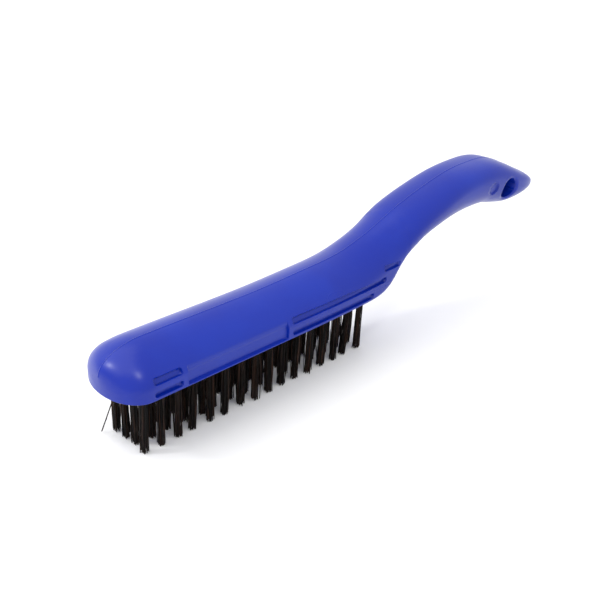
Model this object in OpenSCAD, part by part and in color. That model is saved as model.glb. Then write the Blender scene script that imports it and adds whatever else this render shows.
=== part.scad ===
// Shoe-handle wire scratch brush: one moulded plastic handle, 64 wire tufts in 4 columns
// and 16 rows, and the flat-wire anchors that hold the folded tufts in their holes.
// X runs from the nose to the tail, Z is up, and Z = 0 is the plane of the wire tips.

/* [Handle] */
// Length of the block, from the nose to the heel
block_length = 134; // [125:1:180]
// Length of the tail, from the heel to its end
tail_length = 120; // [100:1:150]
// Width of the block
block_width = 34; // [26:0.5:44]
// Height of the block above its underside
block_height = 16.5; // [14:0.5:24]
// Width of the tail
tail_width = 27.5; // [22:0.5:34]
// Rise of the hump above the top of the block
hump_rise = 24; // [18:0.5:32]
// Thickness of the tail at the hump
grip_thickness = 21; // [16:0.5:25]
// Reach of the rounding at the nose, seen from above
nose_round = 11.5; // [6:0.5:16]

/* [Wires] */
// Rows of tufts along the block
rows = 16; // [4:1:16]
// Columns of tufts across the block
columns = 4; // [2:1:4]
// Spacing of the rows
row_pitch = 7.6; // [6.8:0.1:8]
// Spacing of the columns
column_pitch = 6; // [4.5:0.1:7]
// Distance from the nose to the first row
first_row = 12; // [10:0.5:16]
// Length of the wires below the block
trim = 27; // [15:0.5:40]
// Diameter of a tuft in its hole
tuft_d = 3; // [2.2:0.1:3.6]
// How much wider a tuft is at its tips than in its hole
tuft_splay = 0.5; // [0:0.1:1.2]
// Depth of a tuft hole
hole_depth = 9; // [7:0.5:10]
// Diameter of the stray wire
stray_d = 0.5; // [0.3:0.05:0.8]
// Lean of the stray wire from the vertical, towards the nose
stray_lean = 23.5; // [0:0.5:30]

/* [Anchors] */
// Length of an anchor
anchor_length = 5; // [4.4:0.1:6]
// Thickness of an anchor's flat wire
anchor_thickness = 0.5; // [0.3:0.1:0.8]
// Width of an anchor's flat wire
anchor_width = 1.8; // [1:0.1:2.5]
// Height of the wire bend above its anchor
bend_height = 1; // [0.6:0.1:1.6]

/* [Recesses] */
// Depth of the label panel and the slots
recess_depth = 1.2; // [0.4:0.1:1.4]
// Height of a slot
slot_height = 2.3; // [1.5:0.1:2.8]
// Rise from one slot to the next
slot_pitch = 4.9; // [4:0.1:6]
// Height of the lowest slot's lower edge above the underside
slot_base = 1.5; // [0.8:0.1:2]
// Length of a slot at the nose
nose_slot_length = 12; // [8:0.5:14]
// Length of the label panel
panel_length = 49; // [30:1:50]
// Height of the label panel
panel_height = 8.9; // [6:0.1:10]
// Height of the panel's lower edge above the underside
panel_base = 0.9; // [0.5:0.1:1.5]
// Wall left between the panel and the slots on either side of it
divider = 2.5; // [1.5:0.5:4]
// Length of the short slot at the heel
heel_slot_length = 10; // [6:0.5:14]
// Distance from the end of the lowest long slot to the heel
lower_slot_gap = 8; // [4:0.5:12]

/* [Hanging hole] */
// Diameter of the hole through the tail
hang_d = 10; // [6:0.5:11]
// Distance from the hole's axis to the tail's end
hang_inset = 29; // [28:0.5:34]
// Height of the hole's axis above the underside of the grip
hang_rise = 6.7; // [5:0.1:8]
// Diameter of the round ejector mark beside the hole
mark_d = 6; // [4:0.5:8]
// Depth of the ejector mark
mark_depth = 0.8; // [0.3:0.1:1]

/* [Hidden] */
ring_points = 40;          // points around one section of the handle
round_steps = 7;           // rings in the rounding of the nose and the tail's end
nose_height = 18;          // reach of the nose's rounding, seen from the side
nose_front = 0.4;          // height where that rounding starts, as a share of the block's height
tip_rise = 0.527;            // height of the tail's end, as a share of the rise from underside to hump
tail_round = 15;           // reach of the tail end's rounding, seen from the side
tail_taper = 23;           // reach of the tail end's rounding, seen from above
rim = 0.02;                // flat left at the two ends of the loft
overcut = 1;               // how far a cutter runs past a face
small = 0.001;             // overlap of two solids that are joined
round_sides = 24;          // sides of a hole, a tuft or a slot's end
stray_tip = 1;             // height of the stray wire's tip above the plane of the tips
stray_gap = 0.7;           // distance from its axis to the tufts that it passes
heel_run = 12;             // stretch before the heel with closer rings
heel_rings = 19;           // rings from there to the tail's end rounding
block_step = 9;            // spacing of the rings along the block

x_nose = -(block_length + tail_length) / 2;
x_heel = x_nose + block_length;
x_end = x_heel + tail_length;
z_under = trim;
z_block = z_under + block_height;
z_hump = z_block + hump_rise;
z_grip = z_hump - grip_thickness;
z_tip = z_under + tip_rise * (z_hump - z_under);
block_half = block_width / 2;
tail_half = tail_width / 2;
heel_half = (block_half + tail_half) / 2;

function pad(i) = str(i < 10 ? "0" : "", i);
tuft_nodes = [for (i = [1:rows]) str("tuft_row_", pad(i))];
anchor_nodes = [for (i = [1:rows]) str("anchor_row_", pad(i))];

// ---- sections of the handle ------------------------------------------------------------
// Each station is [x, top, underside, half width, height of the widest line as a share of
// the section, roundness above that line, roundness below it]. Roundness 2 is an ellipse
// and a larger number is squarer.
function along(s) = x_heel + s * tail_length;
stations = [
    [x_nose, z_block - 0.2, z_under, block_half, 0.33, 1.65, 30],
    [x_nose + 21, z_block, z_under, block_half, 0.33, 1.65, 30],
    [x_heel - 63, z_block - 0.4, z_under, block_half, 0.33, 1.65, 30],
    [x_heel - 37, z_block + 0.02 * hump_rise, z_under, block_half, 0.34, 1.65, 30],
    [x_heel - 15, z_block + 0.08 * hump_rise, z_under, block_half - 0.4, 0.38, 1.7, 24],
    [x_heel, z_block + 0.235 * hump_rise, z_under, heel_half + 0.4, 0.45, 1.85, 9],
    [along(0.08), z_block + 0.38 * hump_rise, z_under + 2.8, heel_half, 0.48, 1.95, 2.5],
    [along(0.19), z_block + 0.6 * hump_rise, z_grip - 7.4, heel_half - 0.3, 0.54, 2.1, 2.1],
    [along(0.325), z_block + 0.8 * hump_rise, z_grip - 2.7, tail_half + 0.8, 0.58, 2.2, 2.1],
    [along(0.475), z_hump - 0.9, z_grip - 0.2, tail_half, 0.6, 2.4, 2.2],
    [along(0.625), z_hump, z_grip, tail_half - 0.1, 0.6, 2.6, 2.3],
    [along(0.71), z_hump - 1, z_grip - 2, tail_half, 0.6, 2.8, 2.4],
    [along(0.79), z_hump - 4.3, z_grip - 3.5, tail_half + 0.2, 0.6, 3, 2.5],
    [along(0.875), z_hump - 9, z_grip - 2.4, tail_half + 0.2, 0.6, 3, 2.5],
    [x_end, z_hump - 14.6, z_grip + 0.4, tail_half, 0.6, 3, 2.5]
];
last_station = len(stations) - 1;

// Smooth curve through column c of the stations
function slope(c, i) =
    let (a = max(i - 1, 0), b = min(i + 1, last_station))
    (stations[b][c] - stations[a][c]) / (stations[b][0] - stations[a][0]);
function span_at(x, i = 0) = (i >= last_station - 1 || x < stations[i + 1][0]) ? i : span_at(x, i + 1);
function curve(c, x) =
    let (
        i = span_at(x),
        w = stations[i + 1][0] - stations[i][0],
        t = (x - stations[i][0]) / w,
        t2 = t * t,
        t3 = t2 * t
    )
    (2 * t3 - 3 * t2 + 1) * stations[i][c] + (t3 - 2 * t2 + t) * w * slope(c, i)
    + (3 * t2 - 2 * t3) * stations[i + 1][c] + (t3 - t2) * w * slope(c, i + 1);

// Share of full size left at x in a rounding that ends at x_tip and reaches back by reach
function rounding(x, x_tip, reach, n) =
    let (u = min(max(1 - abs(x_tip - x) / reach, 0), 1))
    pow(1 - pow(u, n), 1 / n);
function top_at(x) =
    let (nose = rounding(x, x_nose, nose_height, 2), tail = rounding(x, x_end, tail_round, 2))
    let (z_front = z_under + nose_front * block_height)
    x < x_nose + nose_height ? z_front + (curve(1, x) - z_front) * nose
    : z_tip + (curve(1, x) - z_tip) * tail;
function under_at(x) = z_tip - (z_tip - curve(2, x)) * rounding(x, x_end, tail_round, 2);
function half_at(x) =
    curve(3, x) * rounding(x, x_nose, nose_round, 2.1) * rounding(x, x_end, tail_taper, 2.5);
function widest_at(x) = under_at(x) + curve(4, x) * (top_at(x) - under_at(x));

function signed_pow(v, n) = sign(v) * pow(abs(v), n);
function section_point(x, a) =
    let (
        n = sin(a) > 0 ? curve(5, x) : curve(6, x),
        reach = sin(a) > 0 ? top_at(x) - widest_at(x) : widest_at(x) - under_at(x)
    )
    [x, half_at(x) * signed_pow(cos(a), 2 / n), widest_at(x) + reach * signed_pow(sin(a), 2 / n)];
// Near the underside the section is flat
function flattened(p) = [p[0], p[1], p[0] < x_heel && p[2] < z_under + 0.05 ? z_under : p[2]];

function drawn_in(p, share) = [p[0], share * p[1], p[2]];

steps = [for (i = [0:round_steps - 1]) 1 - cos(10 + 80 * i / round_steps)];
ring_x = concat(
    [x_nose + rim],
    [for (s = steps) x_nose + nose_height * s],
    [for (x = [x_nose + nose_height : block_step : x_heel - heel_run - block_step / 2]) x],
    [for (i = [0:heel_rings]) x_heel - heel_run + i * (tail_length + heel_run - tail_taper) / heel_rings],
    [for (i = [0:round_steps - 1]) x_end - tail_taper + tail_taper * sin(80 * (i + 1) / round_steps)],
    [x_end - rim]
);

// A solid through the sections at xs, with its sides drawn in by inset
module loft(xs, inset = 0) {
    rings = [
        for (x = xs)
        let (share = 1 - inset / half_at(x))
        [
            for (k = [0:ring_points - 1])
            drawn_in(flattened(section_point(x, 360 * (k + 0.5) / ring_points)), share)
        ]
    ];
    count = len(xs);
    points = [for (r = rings) each r];
    walls = [
        for (j = [0:count - 2])
        for (k = [0:ring_points - 1])
        let (a = j * ring_points + k, b = j * ring_points + (k + 1) % ring_points)
        each [[b + ring_points, b, a], [a + ring_points, b + ring_points, a]]
    ];
    front = [for (k = [0:ring_points - 1]) k];
    back = [for (k = [ring_points - 1:-1:0]) (count - 1) * ring_points + k];
    polyhedron(points, concat(walls, [front, back]), convexity = 6);
}

// ---- tufts and anchors -----------------------------------------------------------------
function row_x(i) = x_nose + first_row + (i - 1) * row_pitch;
function column_y(j) = (j - (columns + 1) / 2) * column_pitch;
z_hole = z_under + hole_depth;
z_anchor = z_hole - bend_height - anchor_width;

module at_each_tuft(i) {
    for (j = [1:columns])
        translate([row_x(i), column_y(j), 0]) children();
}

module anchor() {
    translate([-anchor_length / 2, -anchor_thickness / 2, z_anchor])
        cube([anchor_length, anchor_thickness, anchor_width]);
}

module tuft() {
    difference() {
        union() {
            cylinder(h = trim, d1 = tuft_d + tuft_splay, d2 = tuft_d, $fn = round_sides);
            translate([0, 0, trim - small]) cylinder(h = hole_depth + small, d = tuft_d, $fn = round_sides);
        }
        anchor();
    }
}

module tuft_row(i) {
    color([0.16, 0.13, 0.12]) at_each_tuft(i) tuft();
}

module anchor_row(i) {
    color([0.6, 0.6, 0.62]) at_each_tuft(i) anchor();
}

module tuft_holes() {
    for (i = [1:rows])
        at_each_tuft(i) {
            translate([0, 0, z_under - overcut])
                cylinder(h = hole_depth + overcut, d = tuft_d, $fn = round_sides);
            anchor();
        }
}

// ---- handle ----------------------------------------------------------------------------
nose_slots_x = x_nose + first_row;
panel_x = nose_slots_x + nose_slot_length + divider;
long_slots_x = panel_x + panel_length + divider;
function slot_z(level) = z_under + slot_base + level * slot_pitch;

// A window with round ends, right through the block from side to side
module window(x, length, z, height) {
    translate([x, block_half + overcut, z])
        rotate([90, 0, 0])
            linear_extrude(2 * (block_half + overcut)) {
                translate([height / 2, 0]) square([length - height, height]);
                translate([height / 2, height / 2]) circle(d = height, $fn = round_sides);
                translate([length - height / 2, height / 2]) circle(d = height, $fn = round_sides);
            }
}

// The label panel has a flat upright floor, so it fades out where the wall leans in above it
module label_panels() {
    for (side = [-1, 1])
        translate([panel_x, side * (block_width - recess_depth) - block_half, z_under + panel_base])
            cube([panel_length, block_width, panel_height]);
}

// The slots, on both sides, with floors that follow the block's wall
module side_slots() {
    difference() {
        union() {
            for (level = [0, 1])
                window(nose_slots_x, nose_slot_length, slot_z(level), slot_height);
            window(long_slots_x, x_heel - lower_slot_gap - long_slots_x, slot_z(0), slot_height);
            window(long_slots_x, x_heel - long_slots_x, slot_z(1), slot_height);
            window(x_heel - overcut, heel_slot_length, slot_z(2), slot_height);
        }
        loft([for (x = ring_x) if (x > x_nose + nose_round / 2 && x < along(0.2)) x], recess_depth);
    }
}

module hang_hole() {
    translate([x_end - hang_inset, 0, z_grip + hang_rise])
        rotate([90, 0, 0])
            cylinder(h = block_width, d = hang_d, center = true, $fn = 48);
}

module ejector_marks() {
    x_mark = x_end - hang_inset - hang_d / 2 - mark_d - divider;
    reach = half_at(x_end - hang_inset);
    for (side = [-1, 1])
        translate([x_mark, side * reach, z_grip + hang_rise + mark_d / 2])
            rotate([90, 0, 0])
                cylinder(h = 2 * mark_depth, d = mark_d, center = true, $fn = 32);
}

module handle() {
    color([0.15, 0.2, 0.72])
        difference() {
            loft(ring_x);
            tuft_holes();
            side_slots();
            label_panels();
            hang_hole();
            ejector_marks();
        }
}

// ---- stray wire ------------------------------------------------------------------------
// It starts beside the last tuft of the second row and leans out past the first row
module stray_wire() {
    color([0.25, 0.2, 0.18])
        intersection() {
            translate([row_x(2) - tuft_d / 2, column_y(columns) + tuft_d / 2 + stray_gap, z_under])
                rotate([0, 180 + stray_lean, 0])
                    cylinder(h = (trim - stray_tip) / cos(stray_lean), d = stray_d, $fn = round_sides);
            translate([x_nose - block_width, -block_width, 0])
                cube([2 * block_width, 2 * block_width, z_under]);
        }
}

handle();
for (i = [1:rows]) {
    tuft_row(i);
    anchor_row(i);
}
stray_wire();
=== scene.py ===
"""The looks of a shoe-handle wire scratch brush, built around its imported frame.

X runs from the nose to the tail, Z is up, and Z = 0 is the plane of the wire tips. Sizes of the
brush are in millimetres and are turned into metres when a mesh is made.
"""
import math
import random

import bmesh
import bpy
import numpy as np
from mathutils import Matrix, Vector


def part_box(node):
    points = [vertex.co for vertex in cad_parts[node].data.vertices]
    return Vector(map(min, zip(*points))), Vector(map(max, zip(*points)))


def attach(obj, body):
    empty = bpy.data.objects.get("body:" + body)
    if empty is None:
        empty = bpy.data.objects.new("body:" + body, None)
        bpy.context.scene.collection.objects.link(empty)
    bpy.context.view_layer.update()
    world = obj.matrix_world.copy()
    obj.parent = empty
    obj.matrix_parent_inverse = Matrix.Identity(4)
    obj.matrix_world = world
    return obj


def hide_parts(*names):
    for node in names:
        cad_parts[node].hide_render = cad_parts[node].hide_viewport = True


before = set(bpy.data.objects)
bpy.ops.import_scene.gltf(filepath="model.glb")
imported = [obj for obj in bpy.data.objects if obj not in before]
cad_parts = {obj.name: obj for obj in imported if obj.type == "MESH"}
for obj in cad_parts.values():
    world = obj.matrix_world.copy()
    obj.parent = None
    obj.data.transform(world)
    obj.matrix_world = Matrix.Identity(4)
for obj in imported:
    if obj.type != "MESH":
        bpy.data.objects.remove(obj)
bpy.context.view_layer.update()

MM = 0.001

# ---- sizes of the brush, in millimetres ------------------------------------------------
low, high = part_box("handle")
x_nose = low.x / MM
x_end = high.x / MM
z_under = low.z / MM
tail_length = 120
x_heel = x_end - tail_length
block_height = 16.5
hump_rise = 24
grip_thickness = 21
block_half = high.y / MM
tail_half = 13.75
nose_round = 11.5
nose_height = 18
nose_front = 0.4
tip_rise = 0.527
tail_round = 15
tail_taper = 23
flat_within = 0.05

rows = 16
columns = 4
row_pitch = 7.6
column_pitch = 6
first_row = 12
tuft_d = 3
hole_depth = 9
bend_height = 1

recess_depth = 1.2
slot_height = 2.3
slot_pitch = 4.9
slot_base = 1.5
nose_slot_length = 12
panel_length = 49
panel_height = 8.9
panel_base = 0.9
divider = 2.5
heel_slot_length = 10
lower_slot_gap = 8
slot_corner = 0.9
panel_corner = 0.4
heel_slot_lap = 1
edge_blend = 0.3
side_faces_from = 6

hang_d = 10
hang_inset = 29
hang_rise = 6.7
hang_fillet = 1.6
fillet_start = 0.02
mark_d = 6
mark_depth = 0.8

# The flash is the thin ridge at the mould's parting line. seam_lines is how far off the middle
# the mesh has lines along it.
flash_height = 0.17
flash_width = 0.17
flash_from = 0.6
seam_lines = (0.0, 0.1, 0.2, 0.32, 0.6, 1.1)

z_block = z_under + block_height
z_hump = z_block + hump_rise
z_grip = z_hump - grip_thickness
z_tip = z_under + tip_rise * (z_hump - z_under)
z_front = z_under + nose_front * block_height
heel_half = (block_half + tail_half) / 2
x_hang = x_end - hang_inset
z_hang = z_grip + hang_rise


def along(share):
    return x_heel + share * tail_length


# Each station is [x, top, underside, half width, height of the widest line as a share of the
# section, roundness above that line, roundness below it].
stations = np.array([
    [x_nose, z_block - 0.2, z_under, block_half, 0.33, 1.65, 30],
    [x_nose + 21, z_block, z_under, block_half, 0.33, 1.65, 30],
    [x_heel - 63, z_block - 0.4, z_under, block_half, 0.33, 1.65, 30],
    [x_heel - 37, z_block + 0.02 * hump_rise, z_under, block_half, 0.34, 1.65, 30],
    [x_heel - 15, z_block + 0.08 * hump_rise, z_under, block_half - 0.4, 0.38, 1.7, 24],
    [x_heel, z_block + 0.235 * hump_rise, z_under, heel_half + 0.4, 0.45, 1.85, 9],
    [along(0.08), z_block + 0.38 * hump_rise, z_under + 2.8, heel_half, 0.48, 1.95, 2.5],
    [along(0.19), z_block + 0.6 * hump_rise, z_grip - 7.4, heel_half - 0.3, 0.54, 2.1, 2.1],
    [along(0.325), z_block + 0.8 * hump_rise, z_grip - 2.7, tail_half + 0.8, 0.58, 2.2, 2.1],
    [along(0.475), z_hump - 0.9, z_grip - 0.2, tail_half, 0.6, 2.4, 2.2],
    [along(0.625), z_hump, z_grip, tail_half - 0.1, 0.6, 2.6, 2.3],
    [along(0.71), z_hump - 1, z_grip - 2, tail_half, 0.6, 2.8, 2.4],
    [along(0.79), z_hump - 4.3, z_grip - 3.5, tail_half + 0.2, 0.6, 3, 2.5],
    [along(0.875), z_hump - 9, z_grip - 2.4, tail_half + 0.2, 0.6, 3, 2.5],
    [x_end, z_hump - 14.6, z_grip + 0.4, tail_half, 0.6, 3, 2.5],
])


def curve(column, x):
    """Smooth curve through one column of the stations, for an array of x."""
    sx, sy = stations[:, 0], stations[:, column]
    before = np.maximum(np.arange(len(sx)) - 1, 0)
    after = np.minimum(np.arange(len(sx)) + 1, len(sx) - 1)
    slopes = (sy[after] - sy[before]) / (sx[after] - sx[before])
    i = np.clip(np.searchsorted(sx, x, side="right") - 1, 0, len(sx) - 2)
    width = sx[i + 1] - sx[i]
    t = (x - sx[i]) / width
    return ((2 * t**3 - 3 * t**2 + 1) * sy[i] + (t**3 - 2 * t**2 + t) * width * slopes[i]
            + (3 * t**2 - 2 * t**3) * sy[i + 1] + (t**3 - t**2) * width * slopes[i + 1])


def rounding(x, x_tip, reach, n):
    """Share of full size left at x in a rounding that ends at x_tip and reaches back by reach."""
    u = np.clip(1 - np.abs(x_tip - x) / reach, 0, 1)
    return (1 - u**n) ** (1 / n)


def section_sizes(x):
    """Top, underside, half width and height of the widest line of the handle at x."""
    nose = z_front + (curve(1, x) - z_front) * rounding(x, x_nose, nose_height, 2)
    tail = z_tip + (curve(1, x) - z_tip) * rounding(x, x_end, tail_round, 2)
    top = np.where(x < x_nose + nose_height, nose, tail)
    under = z_tip - (z_tip - curve(2, x)) * rounding(x, x_end, tail_round, 2)
    ends = rounding(x, x_nose, nose_round, 2.1) * rounding(x, x_end, tail_taper, 2.5)
    half = curve(3, x) * ends
    widest = under + curve(4, x) * (top - under)
    return top, under, half, widest


def section_points(x, angle):
    """Points of the handle's skin for x and for angles in degrees, counted from +Y upwards."""
    top, under, half, widest = section_sizes(x)
    c, s = np.cos(np.radians(angle)), np.sin(np.radians(angle))
    n = np.where(s > 0, curve(5, x), curve(6, x))
    reach = np.where(s > 0, top - widest, widest - under)
    y = half * np.sign(c) * np.abs(c) ** (2 / n)
    z = widest + reach * np.sign(s) * np.abs(s) ** (2 / n)
    flat = (x < x_heel) & (z < z_under + flat_within)
    return np.stack([x, y, np.where(flat, z_under, z)], -1)


# ---- mesh helpers ----------------------------------------------------------------------
# Edges that turn by more than these angles, in degrees, are shaded sharp.
plain_smooth = 40
handle_smooth = 38
wire_smooth = 80


def new_object(name, verts, faces, smooth_angle=plain_smooth):
    """A mesh object from millimetre vertices, shaded smooth except across sharp edges."""
    mesh = bpy.data.meshes.new(name)
    mesh.from_pydata([tuple(v) for v in np.asarray(verts) * MM], [], faces)
    mesh.update()
    piece = bpy.data.objects.new(name, mesh)
    bpy.context.scene.collection.objects.link(piece)
    shade(piece, smooth_angle)
    return piece


def shade(piece, smooth_angle):
    """Smooth shading, with edges sharper than smooth_angle left sharp."""
    work = bmesh.new()
    work.from_mesh(piece.data)
    limit = math.radians(smooth_angle)
    for face in work.faces:
        face.smooth = True
    for edge in work.edges:
        edge.smooth = edge.calc_face_angle(0) < limit
    work.to_mesh(piece.data)
    work.free()


def tube_faces(rings, sides, first=0):
    """Faces of a tube with closed ends, whose vertices come ring by ring."""
    faces = []
    for r in range(rings - 1):
        for k in range(sides):
            a = first + r * sides + k
            b = first + r * sides + (k + 1) % sides
            faces.append((a, b, b + sides, a + sides))
    faces.append(tuple(first + k for k in reversed(range(sides))))
    faces.append(tuple(first + (rings - 1) * sides + k for k in range(sides)))
    return faces


def cut(piece, cutter):
    """Takes cutter out of piece and removes the cutter."""
    modifier = piece.modifiers.new("cut", "BOOLEAN")
    modifier.object = cutter
    modifier.operation = "DIFFERENCE"
    modifier.solver = "MANIFOLD"
    graph = bpy.context.evaluated_depsgraph_get()
    result = bpy.data.meshes.new_from_object(piece.evaluated_get(graph))
    piece.modifiers.remove(modifier)
    piece.data = result
    bpy.data.objects.remove(cutter)


def turned(profile, place, sides, axis):
    """Vertices of a solid of revolution from (radius, height) points, round an axis at place."""
    verts = []
    for radius, height in profile:
        for k in range(sides):
            turn = 2 * math.pi * k / sides
            across, up = radius * math.cos(turn), radius * math.sin(turn)
            point = (across, up, height) if axis == "Z" else (across, -height, up)
            verts.append([p + q for p, q in zip(point, place)])
    return verts


# ---- handle ----------------------------------------------------------------------------
nose_slots_x = x_nose + first_row
panel_x = nose_slots_x + nose_slot_length + divider
long_slots_x = panel_x + panel_length + divider


def slot_z(level):
    return z_under + slot_base + level * slot_pitch


def window(x, length, z, height, corner):
    """A window in the side of the block: its low and high corner and its corner radius."""
    return (x, z, x + length, z + height, corner)


def slot_window(x, length, level):
    return window(x, length, slot_z(level), slot_height, slot_corner)


slot_windows = [
    slot_window(nose_slots_x, nose_slot_length, 0),
    slot_window(nose_slots_x, nose_slot_length, 1),
    slot_window(long_slots_x, x_heel - lower_slot_gap - long_slots_x, 0),
    slot_window(long_slots_x, x_heel - long_slots_x, 1),
    slot_window(x_heel - heel_slot_lap, heel_slot_length, 2),
]
panel_window = window(panel_x, panel_length, z_under + panel_base, panel_height, panel_corner)


def distance_to_window(x, z, area):
    """Distance in the side view from a window's edge, negative inside it."""
    x0, z0, x1, z1, corner = area
    dx = np.abs(x - (x0 + x1) / 2) - (x1 - x0) / 2 + corner
    dz = np.abs(z - (z0 + z1) / 2) - (z1 - z0) / 2 + corner
    outside = np.hypot(np.maximum(dx, 0), np.maximum(dz, 0))
    return outside + np.minimum(np.maximum(dx, dz), 0) - corner


def step(distance, blend):
    """1 well inside an edge and 0 well outside it, with a smooth turn blend wide."""
    t = np.clip(0.5 - distance / blend, 0, 1)
    return t * t * (3 - 2 * t)


def skin_depth(x, y, z):
    """How far the skin lies below the plain handle at each point."""
    depth = np.zeros_like(x)
    for area in slot_windows:
        depth = np.maximum(depth, recess_depth * step(distance_to_window(x, z, area), edge_blend))
    to_floor = np.maximum(np.abs(y) - (block_half - recess_depth), 0)
    in_panel = step(distance_to_window(x, z, panel_window), edge_blend)
    depth = np.maximum(depth, to_floor * in_panel)
    x_mark = x_hang - hang_d / 2 - mark_d - divider
    from_mark = np.hypot(x - x_mark, z - z_hang - mark_d / 2) - mark_d / 2
    depth = np.maximum(depth, mark_depth * step(from_mark, edge_blend))
    from_hole = (np.hypot(x - x_hang, z - z_hang) - hang_d / 2) / hang_fillet
    left = 1 - np.clip(from_hole, fillet_start, 1)
    depth = depth + hang_fillet * (1 - np.sqrt(1 - left ** 2))
    return np.where(np.abs(y) > side_faces_from, depth, 0)


def seam_height(grid):
    """How far the flash stands proud, along the top middle of each ring."""
    near_top = np.abs(np.arange(grid.shape[1]) - grid.shape[1] // 2) < len(seam_lines)
    ridge = flash_height * np.exp(-((grid[..., 1] / flash_width) ** 2))
    return ridge * near_top[None, :] * (grid[..., 2] > z_under + flash_from)


def spread(edges, coarse, fine, reach):
    """Positions between the first and last edge, closer together within reach of each edge."""
    at, places = edges[0], []
    while at < edges[-1]:
        places.append(at)
        near = min(abs(at - e) for e in edges[1:-1])
        at += fine if near < reach else coarse
    return places + [edges[-1]]


# Spacing of the rings along X: in plain stretches, at the ends of the recesses and at the
# hanging hole. edge_reach and hole_reach are how far the closer rings run.
plain_step = 1.2
edge_step = 0.15
edge_reach = 0.8
hole_step = 0.42
hole_reach = 7
nose_rings = 30
end_rings = 44
heel_run = 14
tail_lap = 6
first_ring = 0.002

# Spacing of the level lines up the side walls: closest at the recess edges. They start
# level_lead before the first slot and stop level_lag past the last, over level_blend.
edge_spacing = 0.075
level_step = 0.6
lowest_level = 0.5
above_slots = 3
least_spacing = 0.05
level_lead = 6
level_lag = 4
level_blend = 8

# The rest of a ring: its even spread on the tail, as degrees above and below the widest line,
# the share of its height that the side wall leaves free, the room for the seam's lines, and the
# points over the top and underneath.
even_reach = 62
wall_margin = 0.03
nudge = 0.01
least_half = 0.4
seam_limit = 0.97
crown_points = 16
foot_points = 22


def handle_rings():
    """Where along X the handle's rings lie: close at both ends and at the ends of the recesses."""
    edges = sorted({x for area in slot_windows + [panel_window] for x in (area[0], area[2])})
    nose = [x_nose + nose_height * (1 - math.cos(math.radians(a)))
            for a in np.linspace(1, 68, nose_rings)]
    block = spread([nose[-1] + 0.4] + edges + [x_heel + heel_run],
                   plain_step, edge_step, edge_reach)
    tail = spread([block[-1] + 1, x_hang - hole_reach, x_hang, x_end - tail_taper + tail_lap],
                  plain_step, hole_step, hole_reach)
    end = [tail[-1] + (x_end - tail[-1]) * math.sin(math.radians(a))
           for a in np.linspace(2, 89.5, end_rings)]
    return np.array([x_nose + first_ring] + nose + block + tail + end)


def wall_levels():
    """Heights above the underside of the lines along the side walls, close at each recess edge."""
    edges = [panel_base, panel_base + panel_height]
    for level in range(3):
        low_edge = slot_base + level * slot_pitch
        edges += [low_edge, low_edge + slot_height]
    places = [e + side * edge_spacing for e in edges for side in (-2, -1, 0, 1, 2)]
    places += list(np.arange(lowest_level, slot_base + 2 * slot_pitch + above_slots, level_step))
    kept = []
    for place in sorted(places):
        if not kept or place - kept[-1] > least_spacing:
            kept.append(place)
    return np.array(kept)


def ring_points(x):
    """Points round each ring, from the bottom up the +Y side and down the other.

    On the block they run level along the recesses, and on the tail they are spread evenly.
    """
    top, under, half, widest = (size[:, None] for size in section_sizes(x))
    above_n, below_n = curve(5, x)[:, None], curve(6, x)[:, None]
    levels = z_under + wall_levels()[None, :]
    even_turns = np.linspace(-even_reach, even_reach, levels.shape[1])[None, :]
    even = section_points(x[:, None] + 0 * levels, even_turns)[..., 2]
    behind_nose = step(nose_slots_x - level_lead - x, level_blend)
    before_tail = step(x - (x_heel + heel_slot_length + level_lag), level_blend)
    weight = (behind_nose * before_tail)[:, None]
    margin = wall_margin * (top - under)
    z = np.clip(weight * levels + (1 - weight) * even, under + margin, top - margin)
    order = np.arange(levels.shape[1])[None, :] / levels.shape[1]
    z = np.maximum.accumulate(z, axis=1) + nudge * margin * order
    n = np.where(z > widest, above_n, below_n)
    share = np.abs(z - widest) / np.where(z > widest, top - widest, widest - under)
    wall = np.stack([x[:, None] + 0 * z, half * (1 - share**n) ** (1 / n), z], -1)
    highest, lowest = (np.degrees(np.arcsin(share[:, [k]] ** (n[:, [k]] / 2))) for k in (-1, 0))
    seam_share = np.array(seam_lines)[None, ::-1] / np.maximum(half, least_half)
    seam_share = np.clip(seam_share, 0, seam_limit)
    seam = np.degrees(np.arccos(seam_share ** (above_n / 2)))
    seam_least = np.linspace(0.5, 1, len(seam_lines))[None, :]
    seam = np.maximum(seam, highest + (90 - highest) * seam_least)
    crown = highest + np.linspace(0, 1, crown_points)[None, 1:-1] * (seam[:, :1] - highest)
    foot = -90 + np.linspace(0, 1, foot_points)[None, :-1] ** 0.7 * (90 - lowest)
    around_x = x[:, None]
    right = np.concatenate([section_points(around_x + 0 * foot, foot), wall,
                            section_points(around_x + 0 * crown, crown),
                            section_points(around_x + 0 * seam, seam)], 1)
    left = right[:, -2:0:-1] * np.array([1, -1, 1])
    return np.concatenate([right, left], 1)


def tuft_place(i, j):
    """X and Y of a tuft's axis, for row i and column j counted from 1."""
    return x_nose + first_row + (i - 1) * row_pitch, (j - (columns + 1) / 2) * column_pitch


# The cutter of the hanging hole, and a tuft hole's profile as (extra radius, height above the
# underside): it opens out below the skin and has a rounded rim.
hang_sides = 96
hang_slack = 0.05
hang_reach = 30
hole_sides = 32
hole_profile = [(1.35, -1), (0.35, 0), (0.12, 0.12), (0, 0.4), (0, hole_depth)]


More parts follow.
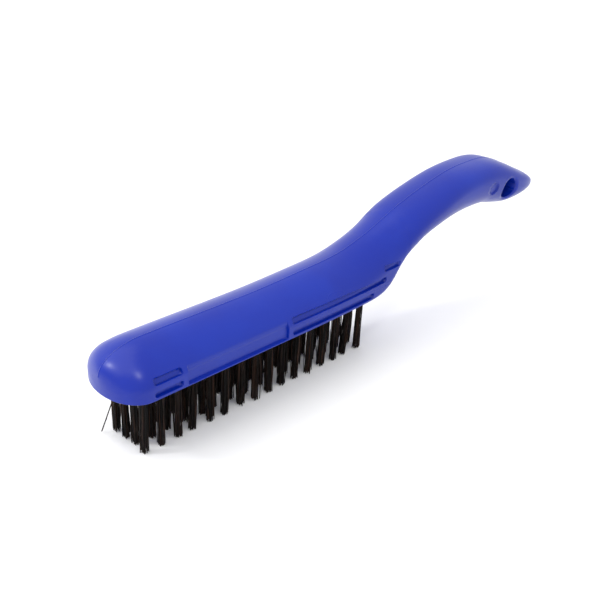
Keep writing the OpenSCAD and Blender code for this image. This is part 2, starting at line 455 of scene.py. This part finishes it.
def build_handle():
    """The moulded handle: its skin with recesses and seam, then its holes."""
    x = handle_rings()
    grid = ring_points(x)
    count = grid.shape[1]
    along_x = np.gradient(grid, axis=0)
    around = (np.roll(grid, -1, 1) - np.roll(grid, 1, 1)) / 2
    normal = np.cross(around, along_x)
    normal /= np.maximum(np.linalg.norm(normal, axis=2, keepdims=True), 1e-9)
    depth = skin_depth(grid[..., 0], grid[..., 1], grid[..., 2])
    grid = grid + normal * (seam_height(grid) - depth)[..., None]
    handle = new_object("handle_moulding", grid.reshape(-1, 3), tube_faces(len(x), count))
    radius = hang_d / 2 + hang_slack
    pin_profile = [(radius, -hang_reach), (radius, hang_reach)]
    pin = turned(pin_profile, (x_hang, 0, z_hang), hang_sides, "Y")
    cut(handle, new_object("hang_cutter", pin, tube_faces(2, hang_sides)))
    profile = [(tuft_d / 2 + extra, height) for extra, height in hole_profile]
    verts, faces = [], []
    for i in range(1, rows + 1):
        for j in range(1, columns + 1):
            faces += tube_faces(len(profile), hole_sides, len(verts))
            verts += turned(profile, (*tuft_place(i, j), z_under), hole_sides, "Z")
    cut(handle, new_object("hole_cutter", verts, faces))
    shade(handle, handle_smooth)
    return handle


# ---- wires -----------------------------------------------------------------------------
wire_radius = 0.18
stray_radius = 0.24
stray_bow = (0.4, 0.1, 0)
stray_rings = 12
wire_sides = 5
folded_wires = 20
leg_rings = 6
fold_turns = (36, 72, 108, 144)

# Gaps beside a wire: to its hole's wall, and from its side to the anchor's middle.
wall_gap = 0.03
anchor_gap = 0.27

# How the tufts differ, as (mean, deviation) or as a deviation: the lean of a whole tuft along
# X and Y, and each wire's lean, bow and cut height. The tips of a tuft splay to least_splay
# times its width at the hole, and by up to more_splay beyond that.
tuft_lean_x = (0.1, 0.45)
tuft_lean_y = (0.3, 0.4)
wire_lean = 0.22
wire_bow = 0.5
cut_height = 0.8
least_splay = 1.12
more_splay = 0.1


def bundle(count, radius):
    """Places of count wires packed in half a round hole, on the +Y side of its anchor."""
    spots = []
    turn = math.pi * (3 - math.sqrt(5))
    for k in range(2 * count):
        r = radius * math.sqrt((k + 0.5) / (2 * count))
        spots.append((r * math.cos(k * turn), r * math.sin(k * turn)))
    spots.sort(key=lambda p: p[1])
    return spots[count:]


def wire_leg(start, tip, bow):
    """Points down one leg of a wire, from the fold to its cut tip: upright inside its hole."""
    held = hole_depth / (z_under + hole_depth)
    points = []
    for t in np.linspace(0, 1, leg_rings):
        free = max(0.0, t - held)
        sag = bow * free * (1 - t) * 4
        lean = (tip - start) * free / (1 - held)
        z = start[2] + (tip[2] - start[2]) * t
        points.append(np.array([start[0] + lean[0] + sag[0], start[1] + lean[1] + sag[1], z]))
    return points


def wire_tube(points, radius):
    """Vertices of a thin tube along points."""
    points = np.array(points)
    tangent = np.gradient(points, axis=0)
    tangent /= np.linalg.norm(tangent, axis=1, keepdims=True)
    side = np.cross(tangent, [1.0, 0.0, 0.0])
    side /= np.linalg.norm(side, axis=1, keepdims=True)
    other = np.cross(tangent, side)
    turns = [2 * math.pi * k / wire_sides for k in range(wire_sides)]
    return [p + radius * (s * math.cos(a) + o * math.sin(a))
            for p, s, o in zip(points, side, other) for a in turns]


def build_tuft_row(i, dice):
    """The four wire tufts of row i, each of folded wires with their own bends and cut lengths."""
    verts, faces = [], []
    z_fold = z_under + hole_depth - bend_height
    room = tuft_d / 2 - wire_radius - wall_gap
    for j in range(1, columns + 1):
        tx, ty = tuft_place(i, j)
        lean = (dice.gauss(*tuft_lean_x), dice.gauss(*tuft_lean_y))
        for px, py in bundle(folded_wires, room):
            py = max(py, wire_radius + anchor_gap)
            px = math.copysign(min(abs(px), math.sqrt(room ** 2 - py ** 2)), px)
            path = []
            for side in (1, -1):
                start = np.array([tx + px, ty + side * py, z_fold])
                splay = least_splay + more_splay * dice.random()
                tip = np.array([
                    tx + px * splay + lean[0] + dice.gauss(0, wire_lean),
                    ty + side * py * splay + lean[1] + dice.gauss(0, wire_lean),
                    abs(dice.gauss(0, cut_height)),
                ])
                bow = np.array([dice.gauss(0, wire_bow), dice.gauss(0, wire_bow)])
                leg = wire_leg(start, tip, bow)
                path = leg[::-1] if side == 1 else path + fold(tx + px, ty, py, z_fold) + leg
            first = len(verts)
            verts += wire_tube(path, wire_radius)
            faces += tube_faces(len(path), wire_sides, first)
    return new_object(f"wires_row_{i:02d}", verts, faces, wire_smooth)


def fold(x, y, reach, z):
    """Points over the anchor, from one leg of a folded wire to the other."""
    rise = min(reach, bend_height - wire_radius)
    return [np.array([x, y + reach * math.cos(a), z + rise * math.sin(a)])
            for a in np.radians(fold_turns)]


def build_stray_wire():
    """The one wire that has come out of its tuft at the nose."""
    low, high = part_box("stray_wire")
    start = np.array([high.x, (low.y + high.y) / 2, high.z]) / MM
    end = np.array([low.x, (low.y + high.y) / 2, low.z]) / MM
    points = [start + (end - start) * t + np.array(stray_bow) * math.sin(math.pi * t)
              for t in np.linspace(0, 1, stray_rings)]
    verts = wire_tube(points, stray_radius)
    return new_object("stray_wire_bent", verts, tube_faces(len(points), wire_sides), wire_smooth)


# ---- shader arithmetic -----------------------------------------------------------------
class Value:
    """A number that varies over a surface: the output of a node, which takes part in sums."""

    def __init__(self, shader, socket):
        self.shader, self.socket = shader, socket

    def sum(self, operation, *values):
        return self.shader.node("Math", {"operation": operation}, values)

    def __add__(self, other):
        return self.sum("ADD", self, other)

    def __sub__(self, other):
        return self.sum("SUBTRACT", self, other)

    def __rsub__(self, other):
        return self.sum("SUBTRACT", other, self)

    def __mul__(self, other):
        return self.sum("MULTIPLY", self, other)

    __radd__ = __add__
    __rmul__ = __mul__


class Shader:
    """One material and the nodes in it."""

    def __init__(self, name, **constants):
        self.material = bpy.data.materials.new(name)
        self.material.use_nodes = True
        self.tree = self.material.node_tree
        self.surface = self.tree.nodes["Principled BSDF"]
        for socket, value in constants.items():
            self.surface.inputs[socket.replace("_", " ")].default_value = value

    def node(self, kind, settings, values, output=0):
        """A node of a kind with its settings made first, then its sockets, by place or by name."""
        made = self.tree.nodes.new("ShaderNode" + kind)
        for name, setting in settings.items():
            setattr(made, name, setting)
        pairs = values.items() if isinstance(values, dict) else enumerate(values)
        for key, value in pairs:
            self.join(value, made.inputs[key])
        return Value(self, made.outputs[output])

    def join(self, value, socket):
        if isinstance(value, Value):
            self.tree.links.new(value.socket, socket)
        else:
            socket.default_value = value

    def drive(self, name, value):
        """Links what varies over the surface to a socket of the main shader."""
        self.join(value, self.surface.inputs[name])

    def place(self):
        return self.node("TexCoord", {}, [], "Object")

    def noise(self, place, scale, detail=3, roughness=0.55, stretch=(1, 1, 1)):
        stretched = self.node("Mapping", {}, {"Vector": place, "Scale": stretch})
        inputs = {"Vector": stretched, "Scale": scale, "Detail": detail, "Roughness": roughness}
        return self.node("TexNoise", {}, inputs, "Fac")

    def mix(self, share, first, second):
        inputs = {0: share, 6: first, 7: second}
        return self.node("Mix", {"data_type": "RGBA"}, inputs, 2)

    def between(self, value, low, high, to_low=0.0, to_high=1.0):
        """value, stretched so that low to high becomes to_low to to_high, and held there."""
        inputs = {"Value": value, 1: low, 2: high, 3: to_low, 4: to_high}
        return self.node("MapRange", {"interpolation_type": "SMOOTHSTEP"}, inputs)

    def bump(self, height, strength, distance):
        inputs = {"Height": height, "Strength": strength, "Distance": distance}
        self.drive("Normal", self.node("Bump", {}, inputs))


def handle_plastic():
    """Blue moulded polypropylene: satin, with faint flow clouds, fine scuffs and a fine grain."""
    plastic = Shader("blue_polypropylene", Specular_IOR_Level=0.34, IOR=1.49)
    place = plastic.place()
    cloud = plastic.noise(place, 28, 4)
    flow = plastic.noise(place, 40, 3, stretch=(0.3, 1, 1))
    deep_blue = (0.001, 0.015, 0.27, 1)
    clear_blue = (0.001, 0.020, 0.31, 1)
    tone = plastic.mix(plastic.between(cloud, 0.35, 0.68), deep_blue, clear_blue)
    plastic.drive("Base Color", tone)
    scuffs = plastic.noise(place, 900, 2, stretch=(0.12, 1, 1))
    marks = plastic.between(scuffs, 0.62, 0.74)
    plastic.drive("Roughness", 0.24 + flow * 0.1 + marks * 0.1)
    grain = plastic.noise(place, 2600, 2)
    plastic.bump(grain + cloud * 3 + marks * 0.5, 0.12, 0.00004)
    return plastic.material


def wire_steel():
    """Oil-tempered spring steel: near black, with brown and straw tints from wire to wire."""
    steel = Shader("oil_tempered_steel", Specular_IOR_Level=0.3)
    place = steel.place()
    by_wire = steel.noise(place, 1700, 2, stretch=(1, 1, 0.02))
    along_wire = steel.noise(place, 300, 4, stretch=(1, 1, 0.4))
    near_black = (0.004, 0.0035, 0.0035, 1)
    brown = (0.055, 0.026, 0.017, 1)
    straw_grey = (0.035, 0.025, 0.022, 1)
    tint = steel.mix(steel.between(by_wire, 0.46, 0.72), near_black, brown)
    tone = steel.mix(steel.between(along_wire, 0.55, 0.75), tint, straw_grey)
    steel.drive("Base Color", tone)
    steel.drive("Metallic", 0.55 + by_wire * 0.3)
    steel.drive("Roughness", 0.3 + along_wire * 0.3)
    drawn = steel.noise(place, 5200, 2, stretch=(1, 1, 0.05))
    steel.bump(drawn, 0.25, 0.00003)
    return steel.material


def anchor_steel():
    """Bright flat wire, rolled along its length."""
    steel = Shader("rolled_flat_wire", Metallic=1.0)
    place = steel.place()
    rolled = steel.noise(place, 3000, 3, stretch=(0.05, 1, 1))
    steel.drive("Base Color", steel.mix(rolled, (0.50, 0.50, 0.52, 1), (0.68, 0.67, 0.66, 1)))
    steel.drive("Roughness", 0.28 + rolled * 0.2)
    steel.bump(rolled, 0.2, 0.00003)
    return steel.material


def studio_floor():
    paper = Shader("white_paper", Roughness=0.9, Specular_IOR_Level=0.1)
    fibre = paper.noise(paper.place(), 60, 4)
    paper.drive("Base Color", paper.mix(fibre, (0.88, 0.88, 0.88, 1), (0.9, 0.9, 0.9, 1)))
    return paper.material


def dress(piece, material):
    """Gives a piece its one material."""
    piece.data.materials.clear()
    piece.data.materials.append(material)


# ---- the pieces ------------------------------------------------------------------------
blue_plastic = handle_plastic()
dark_wire = wire_steel()
bright_wire = anchor_steel()

handle = build_handle()
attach(handle, "root")
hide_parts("handle")
dress(handle, blue_plastic)

dice = random.Random(7)
for i in range(1, rows + 1):
    wires = build_tuft_row(i, dice)
    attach(wires, "root")
    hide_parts(f"tuft_row_{i:02d}")
    dress(wires, dark_wire)
    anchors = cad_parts[f"anchor_row_{i:02d}"]
    anchors.data.materials.clear()
    anchors.data.materials.append(bright_wire)

stray = build_stray_wire()
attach(stray, "root")
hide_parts("stray_wire")
dress(stray, dark_wire)


# ---- floor, light and camera -----------------------------------------------------------
def build_floor():
    half = 3.0
    mesh = bpy.data.meshes.new("floor")
    corners = [(-half, -half, 0), (half, -half, 0), (half, half, 0), (-half, half, 0)]
    mesh.from_pydata(corners, [], [(0, 1, 2, 3)])
    floor = bpy.data.objects.new("floor", mesh)
    bpy.context.scene.collection.objects.link(floor)
    floor.data.materials.append(studio_floor())


def softbox(name, place, target, size, power):
    """A square lamp of a size in metres that faces target."""
    lamp = bpy.data.lights.new(name, "AREA")
    lamp.size, lamp.energy = size, power
    box = bpy.data.objects.new(name, lamp)
    box.location = place
    box.rotation_euler = (Vector(target) - Vector(place)).to_track_quat("-Z", "Y").to_euler()
    bpy.context.scene.collection.objects.link(box)


def light_studio():
    world = bpy.data.worlds.new("studio")
    world.use_nodes = True
    world.node_tree.nodes["Background"].inputs["Color"].default_value = (1, 1, 1, 1)
    world.node_tree.nodes["Background"].inputs["Strength"].default_value = 1.1
    bpy.context.scene.world = world
    middle = (0, 0, 0.03)
    softbox("key", (-0.45, 0.35, 0.9), middle, size=1.2, power=5.5)
    softbox("left", (-0.72, 0.4, 0.72), middle, size=0.12, power=2.2)
    softbox("front", (-0.33, -0.4, 0.93), middle, size=0.14, power=1.4)


def plain_display():
    """Shows light as it is, so that the white floor is white and the blue stays saturated."""
    bpy.context.scene.view_settings.view_transform = "Standard"


def place_camera():
    """The camera, by where it stands, its turn, its tilt and its roll."""
    turn, tilt, roll = (math.radians(a) for a in (-45.56, 28.64, 3.0))
    ahead = Vector((-math.sin(turn), math.cos(turn), 0))
    level = Vector((math.cos(turn), math.sin(turn), 0))
    back = Vector((0, 0, math.sin(tilt))) - ahead * math.cos(tilt)
    upright = back.cross(level)
    right = math.cos(roll) * level + math.sin(roll) * upright
    up = back.cross(right)
    target = Vector((10.2, 38.5, 0.25)) * MM
    distance = 438.85 * MM
    lens = bpy.data.cameras.new("camera")
    lens.lens, lens.sensor_width = 54.16, 36
    lens.clip_start = 0.01
    camera = bpy.data.objects.new("camera", lens)
    camera.matrix_world = Matrix.Translation(target + back * distance) @ Matrix(
        (right, up, back)).transposed().to_4x4()
    bpy.context.scene.collection.objects.link(camera)
    bpy.context.scene.camera = camera


build_floor()
light_studio()
plain_display()
place_camera()
